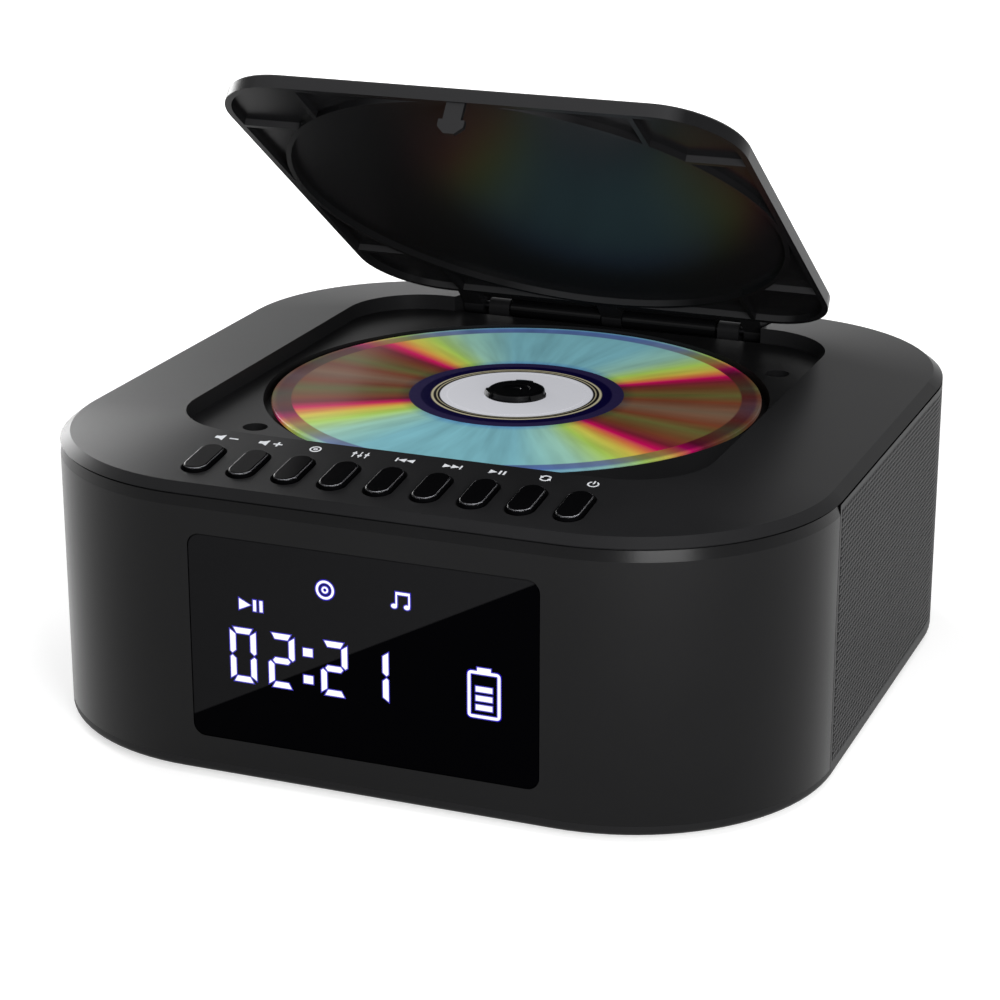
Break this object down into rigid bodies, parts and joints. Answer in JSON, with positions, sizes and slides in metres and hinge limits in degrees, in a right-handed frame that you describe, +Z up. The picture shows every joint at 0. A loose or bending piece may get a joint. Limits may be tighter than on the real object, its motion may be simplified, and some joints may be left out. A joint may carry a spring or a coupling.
{
  "type": "portable disc player",
  "caption": "Square top-loading disc player with its lid hinged open, side speaker grilles, a row of push keys and a dark front display window.",
  "frame": {"origin": "on the supporting surface, under the middle of the case", "axes": "+Z up, front with the display faces -Y, +X to the right seen from the front"},
  "size_m": [0.1894, 0.1884, 0.1514],
  "materials": {
    "base_plastic": "satin moulded",
    "cell_wrap": "shrink sleeve",
    "circuit_board": "green laminate",
    "cone_paper": "pressed pulp",
    "cover_plastic": "satin moulded",
    "disc_metal": "metallised, iridescent",
    "display_lit": "segment module",
    "gear_plastic": "natural acetal",
    "grille_metal": "perforated sheet",
    "hub_plastic": "black",
    "jack_plastic": "black",
    "key_plastic": "satin moulded",
    "latch_plastic": "black",
    "lens_glass": "coated",
    "lid_plastic": "satin outside, polished inside",
    "magnet_steel": "plated",
    "motor_can": "drawn can",
    "rubber": "matt",
    "screw_steel": "zinc plated",
    "shell_plastic": "satin moulded",
    "sled_plastic": "black",
    "socket_metal": "nickel plated",
    "speaker_frame": "black",
    "steel_rod": "ground",
    "surround_rubber": "matt",
    "switch_black": "black",
    "tray_plastic": "black",
    "window_gloss": "polished dark window"
  },
  "bodies": {
    "housing": {"audio_jack": "jack_plastic", "base_cover": "base_plastic", "base_screws": "screw_steel", "battery_cells": "cell_wrap", "battery_tray": "tray_plastic", "board_parts": "switch_black", "board_screws": "screw_steel", "body_shell": "shell_plastic", "charge_inlet": "socket_metal", "cover_screws": "screw_steel", "deck_dampers": "rubber", "display_board": "circuit_board", "display_module": "display_lit", "display_window": "window_gloss", "feed_motor": "motor_can", "grille_left": "grille_metal", "grille_right": "grille_metal", "guide_rods": "steel_rod", "hinge_rod": "steel_rod", "key_board": "circuit_board", "lid_spring": "steel_rod", "main_board": "circuit_board", "mech_deck": "latch_plastic", "rubber_feet": "rubber", "speaker_basket_left": "speaker_frame", "speaker_basket_right": "speaker_frame", "speaker_magnet_left": "magnet_steel", "speaker_magnet_right": "magnet_steel", "speaker_surround_left": "surround_rubber", "speaker_surround_right": "surround_rubber", "spindle_motor": "motor_can", "tact_switches": "switch_black", "top_cover": "cover_plastic", "touch_latch": "latch_plastic", "usb_socket": "socket_metal"},
    "lid": {"lid_shell": "lid_plastic"},
    "spindle": {"turntable": "hub_plastic", "hub_cap": "hub_plastic", "disc": "disc_metal"},
    "pickup": {"pickup_sled": "sled_plastic", "lens_holder": "latch_plastic", "lens": "lens_glass", "feed_rack": "gear_plastic"},
    "transfer_wheel": {"transfer_gear": "gear_plastic"},
    "motor_pinion": {"feed_pinion": "gear_plastic"},
    "cone_right": {"speaker_cone_right": "cone_paper"},
    "cone_left": {"speaker_cone_left": "cone_paper"},
    "volume_down_key": {"key_volume_down": "key_plastic"},
    "volume_up_key": {"key_volume_up": "key_plastic"},
    "source_key": {"key_source": "key_plastic"},
    "tone_key": {"key_tone": "key_plastic"},
    "previous_key": {"key_previous": "key_plastic"},
    "next_key": {"key_next": "key_plastic"},
    "play_key": {"key_play": "key_plastic"},
    "mode_key": {"key_mode": "key_plastic"},
    "standby_key": {"key_standby": "key_plastic"}
  },
  "joints": [
    {"name": "lid_hinge", "type": "hinge", "parent": "housing", "child": "lid", "pos_m": [0, 0.0722, 0.07], "axis": [1, 0, 0], "range_deg": [0, 35.4], "stiffness_Nm_per_rad": 0.04, "springref_deg": -51.57},
    {"name": "spindle_spin", "type": "hinge", "parent": "housing", "child": "spindle", "pos_m": [0, 0, 0.068], "axis": [0, 0, 1], "continuous": true},
    {"name": "pickup_slide", "type": "slide", "parent": "housing", "child": "pickup", "axis": [1, 0, 0], "range_m": [0, 0.033]},
    {"name": "transfer_gear_spin", "type": "hinge", "parent": "housing", "child": "transfer_wheel", "pos_m": [0.04, -0.02776, 0.0541], "axis": [0, 0, 1], "range_deg": [-400, 1]},
    {"name": "feed_pinion_spin", "type": "hinge", "parent": "housing", "child": "motor_pinion", "pos_m": [0.0584, -0.02776, 0.0526], "axis": [0, 0, 1], "range_deg": [-1, 1425]},
    {"name": "cone_right_travel", "type": "slide", "parent": "housing", "child": "cone_right", "axis": [1, 0, 0], "range_m": [-0.0008, 0.0008], "stiffness_N_per_m": 1500},
    {"name": "cone_left_travel", "type": "slide", "parent": "housing", "child": "cone_left", "axis": [-1, 0, 0], "range_m": [-0.0008, 0.0008], "stiffness_N_per_m": 1500},
    {"name": "volume_down_press", "type": "slide", "parent": "housing", "child": "volume_down_key", "axis": [0, 0.1254, -0.9921], "range_m": [0, 0.0006], "stiffness_N_per_m": 400, "springref_m": -0.0005},
    {"name": "volume_up_press", "type": "slide", "parent": "housing", "child": "volume_up_key", "axis": [0, 0.1254, -0.9921], "range_m": [0, 0.0006], "stiffness_N_per_m": 400, "springref_m": -0.0005},
    {"name": "source_press", "type": "slide", "parent": "housing", "child": "source_key", "axis": [0, 0.1254, -0.9921], "range_m": [0, 0.0006], "stiffness_N_per_m": 400, "springref_m": -0.0005},
    {"name": "tone_press", "type": "slide", "parent": "housing", "child": "tone_key", "axis": [0, 0.1254, -0.9921], "range_m": [0, 0.0006], "stiffness_N_per_m": 400, "springref_m": -0.0005},
    {"name": "previous_press", "type": "slide", "parent": "housing", "child": "previous_key", "axis": [0, 0.1254, -0.9921], "range_m": [0, 0.0006], "stiffness_N_per_m": 400, "springref_m": -0.0005},
    {"name": "next_press", "type": "slide", "parent": "housing", "child": "next_key", "axis": [0, 0.1254, -0.9921], "range_m": [0, 0.0006], "stiffness_N_per_m": 400, "springref_m": -0.0005},
    {"name": "play_press", "type": "slide", "parent": "housing", "child": "play_key", "axis": [0, 0.1254, -0.9921], "range_m": [0, 0.0006], "stiffness_N_per_m": 400, "springref_m": -0.0005},
    {"name": "mode_press", "type": "slide", "parent": "housing", "child": "mode_key", "axis": [0, 0.1254, -0.9921], "range_m": [0, 0.0006], "stiffness_N_per_m": 400, "springref_m": -0.0005},
    {"name": "standby_press", "type": "slide", "parent": "housing", "child": "standby_key", "axis": [0, 0.1254, -0.9921], "range_m": [0, 0.0006], "stiffness_N_per_m": 400, "springref_m": -0.0005}
  ],
  "couplings": [
    {"joint": "transfer_gear_spin", "follows": "pickup_slide", "rad_per_m": -208.33},
    {"joint": "feed_pinion_spin", "follows": "pickup_slide", "rad_per_m": 750}
  ]
}
